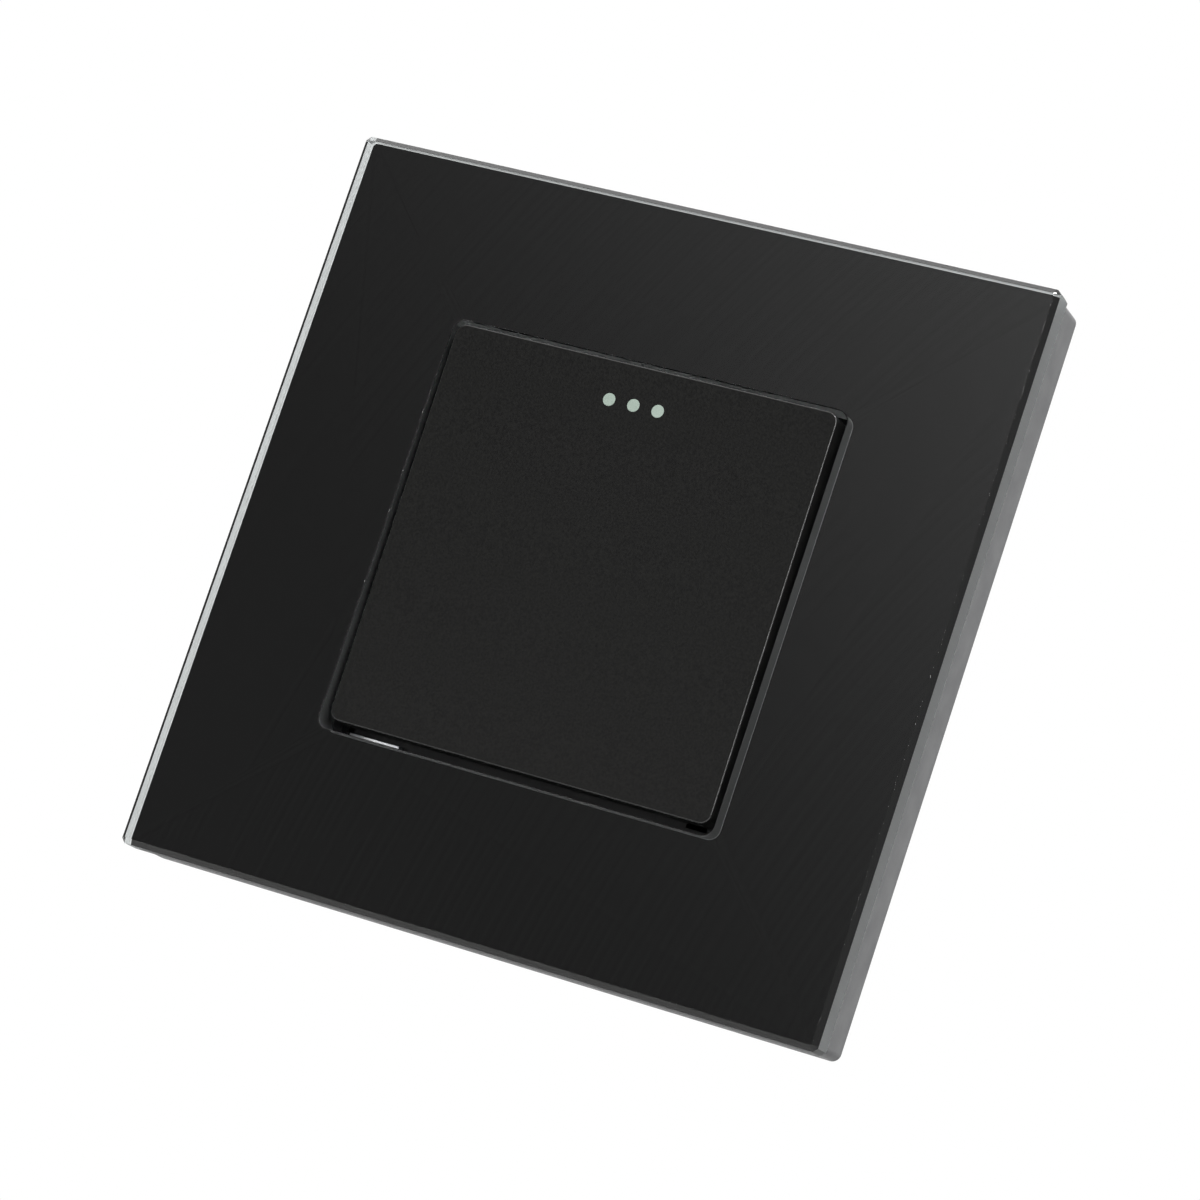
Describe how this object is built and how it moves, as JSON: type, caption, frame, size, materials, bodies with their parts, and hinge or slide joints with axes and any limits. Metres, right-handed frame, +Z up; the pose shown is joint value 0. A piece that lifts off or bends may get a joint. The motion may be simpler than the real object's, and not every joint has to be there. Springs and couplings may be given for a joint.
{
  "type": "wall light switch",
  "caption": "Square glass-fronted wall rocker switch with a black key, luminous dots, steel yoke and rear switch module with screw terminals.",
  "frame": {"origin": "centre of the 60 mm fixing pattern on the back face of the yoke, which is the wall plane and the middle of the panel", "axes": "+X to the right seen from the room, +Y into the wall, +Z up"},
  "size_m": [0.086, 0.0336, 0.086],
  "materials": {
    "glass": "clear polished float glass, edges ground and polished",
    "print": "fired black ink on the back of the glass",
    "tape": "thin black bonding film",
    "frame": "moulded black, fine texture",
    "key": "moulded black, fine matt grain",
    "dots": "pale green-white luminous plastic",
    "carrier": "moulded black, slippery",
    "cover": "moulded black",
    "base": "moulded black, heat resistant",
    "zinc": "pressed sheet steel, bright zinc plated",
    "brass": "stamped strip",
    "silver": "silver alloy rivet",
    "screw": "zinc plated steel",
    "spring": "spring steel wire",
    "acetal": "natural acetal, smooth"
  },
  "bodies": {
    "root": {"glass_panel": "glass", "back_print": "print", "adhesive_tape": "tape", "panel_frame": "frame", "mounting_yoke": "zinc", "module_cover": "cover", "module_base": "base", "module_screws": "screw", "common_strip": "brass", "upper_strip": "brass", "lower_strip": "brass", "upper_fixed_contact": "silver", "lower_fixed_contact": "silver", "common_cage": "brass", "upper_cage": "brass", "lower_cage": "brass", "terminal_screws": "screw"},
    "rocker": {"rocker_key": "key", "dot_insert": "dots", "rocker_carrier": "carrier"},
    "swing": {"swing_arm": "acetal", "plunger_spring": "spring"},
    "plunger": {"plunger": "acetal"},
    "blade": {"contact_blade": "brass", "upper_moving_contact": "silver", "lower_moving_contact": "silver"}
  },
  "joints": [
    {"name": "rocker_hinge", "type": "hinge", "parent": "root", "child": "rocker", "pos_m": [0, -0.0052, 0], "axis": [1, 0, 0], "range_deg": [-2.9, 0]},
    {"name": "swing_hinge", "type": "hinge", "parent": "root", "child": "swing", "pos_m": [0, 0.0098, 0], "axis": [1, 0, 0], "range_deg": [0, 11.6]},
    {"name": "blade_hinge", "type": "hinge", "parent": "root", "child": "blade", "pos_m": [0, 0.0187, 0], "axis": [1, 0, 0], "range_deg": [-10, 0]},
    {"name": "plunger_slide", "type": "slide", "parent": "swing", "child": "plunger", "axis": [0, -0.9949, 0.1011], "range_m": [0, 0.0006], "stiffness_N_per_m": 400, "springref_m": -0.003, "deforming": ["plunger_spring"]}
  ],
  "couplings": [
    {"joint": "swing_hinge", "follows": "rocker_hinge", "ratio": -4},
    {"joint": "blade_hinge", "follows": "rocker_hinge", "ratio": 3.448}
  ]
}
